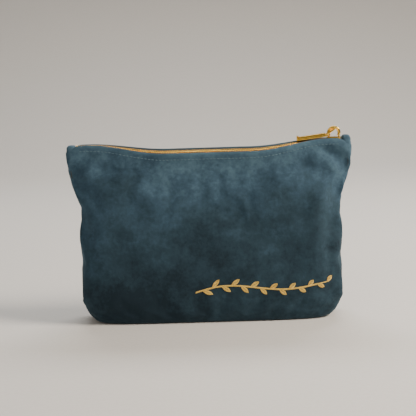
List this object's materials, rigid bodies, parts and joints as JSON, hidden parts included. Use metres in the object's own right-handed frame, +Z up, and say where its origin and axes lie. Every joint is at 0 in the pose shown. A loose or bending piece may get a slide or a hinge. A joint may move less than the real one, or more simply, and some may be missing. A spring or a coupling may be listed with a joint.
{
  "type": "zippered pouch",
  "caption": "Small standing velvet pouch with boxed bottom corners, a lining, a metal zip along its top and an embroidered leaf sprig.",
  "frame": {"origin": "centre of the base, on the surface that the pouch stands on", "axes": "+X along the zip towards its closed end, where the slider rests; -Y out of the embroidered front; +Z up"},
  "size_m": [0.238, 0.0517, 0.1587],
  "materials": {
    "velvet": "matte short pile",
    "lining": "soft sheen weave",
    "zip_tape": "matte herringbone weave",
    "brass": "polished, gold-toned",
    "sewing_thread": "matte",
    "gold_thread": "satin"
  },
  "bodies": {
    "base": {"base_panel": "velvet", "base_lining": "lining", "left_end_tab": "velvet", "right_end_tab": "velvet", "bottom_stop": "brass", "front_top_stop": "brass", "back_top_stop": "brass"},
    "front_wall": {"front_panel": "velvet", "front_lining": "lining", "front_zip_tape": "zip_tape", "front_zip_teeth": "brass", "front_topstitch": "sewing_thread", "embroidered_sprig": "gold_thread"},
    "back_wall": {"back_panel": "velvet", "back_lining": "lining", "back_zip_tape": "zip_tape", "back_zip_teeth": "brass", "back_topstitch": "sewing_thread"},
    "slider": {"slider_body": "brass", "slider_bail": "brass"},
    "pull": {"pull_tab": "brass"}
  },
  "joints": [
    {"name": "zip_slide", "type": "slide", "parent": "base", "child": "slider", "axis": [-1, 0, 0], "range_m": [0, 0.207], "deforming": ["front_zip_tape", "back_zip_tape", "front_zip_teeth", "back_zip_teeth"]},
    {"name": "front_wall_tilt", "type": "hinge", "parent": "base", "child": "front_wall", "pos_m": [0, -0.024, 0], "axis": [1, 0, 0], "range_deg": [0, 14]},
    {"name": "back_wall_tilt", "type": "hinge", "parent": "base", "child": "back_wall", "pos_m": [0, 0.024, 0], "axis": [1, 0, 0], "range_deg": [-14, 0]},
    {"name": "pull_swing", "type": "hinge", "parent": "slider", "child": "pull", "pos_m": [0.10465, 0, 0.15645], "axis": [0, 1, 0], "range_deg": [0, 180]}
  ],
  "couplings": [
    {"joint": "front_wall_tilt", "follows": "zip_slide", "rad_per_m": 1.18},
    {"joint": "back_wall_tilt", "follows": "zip_slide", "rad_per_m": -1.18}
  ]
}
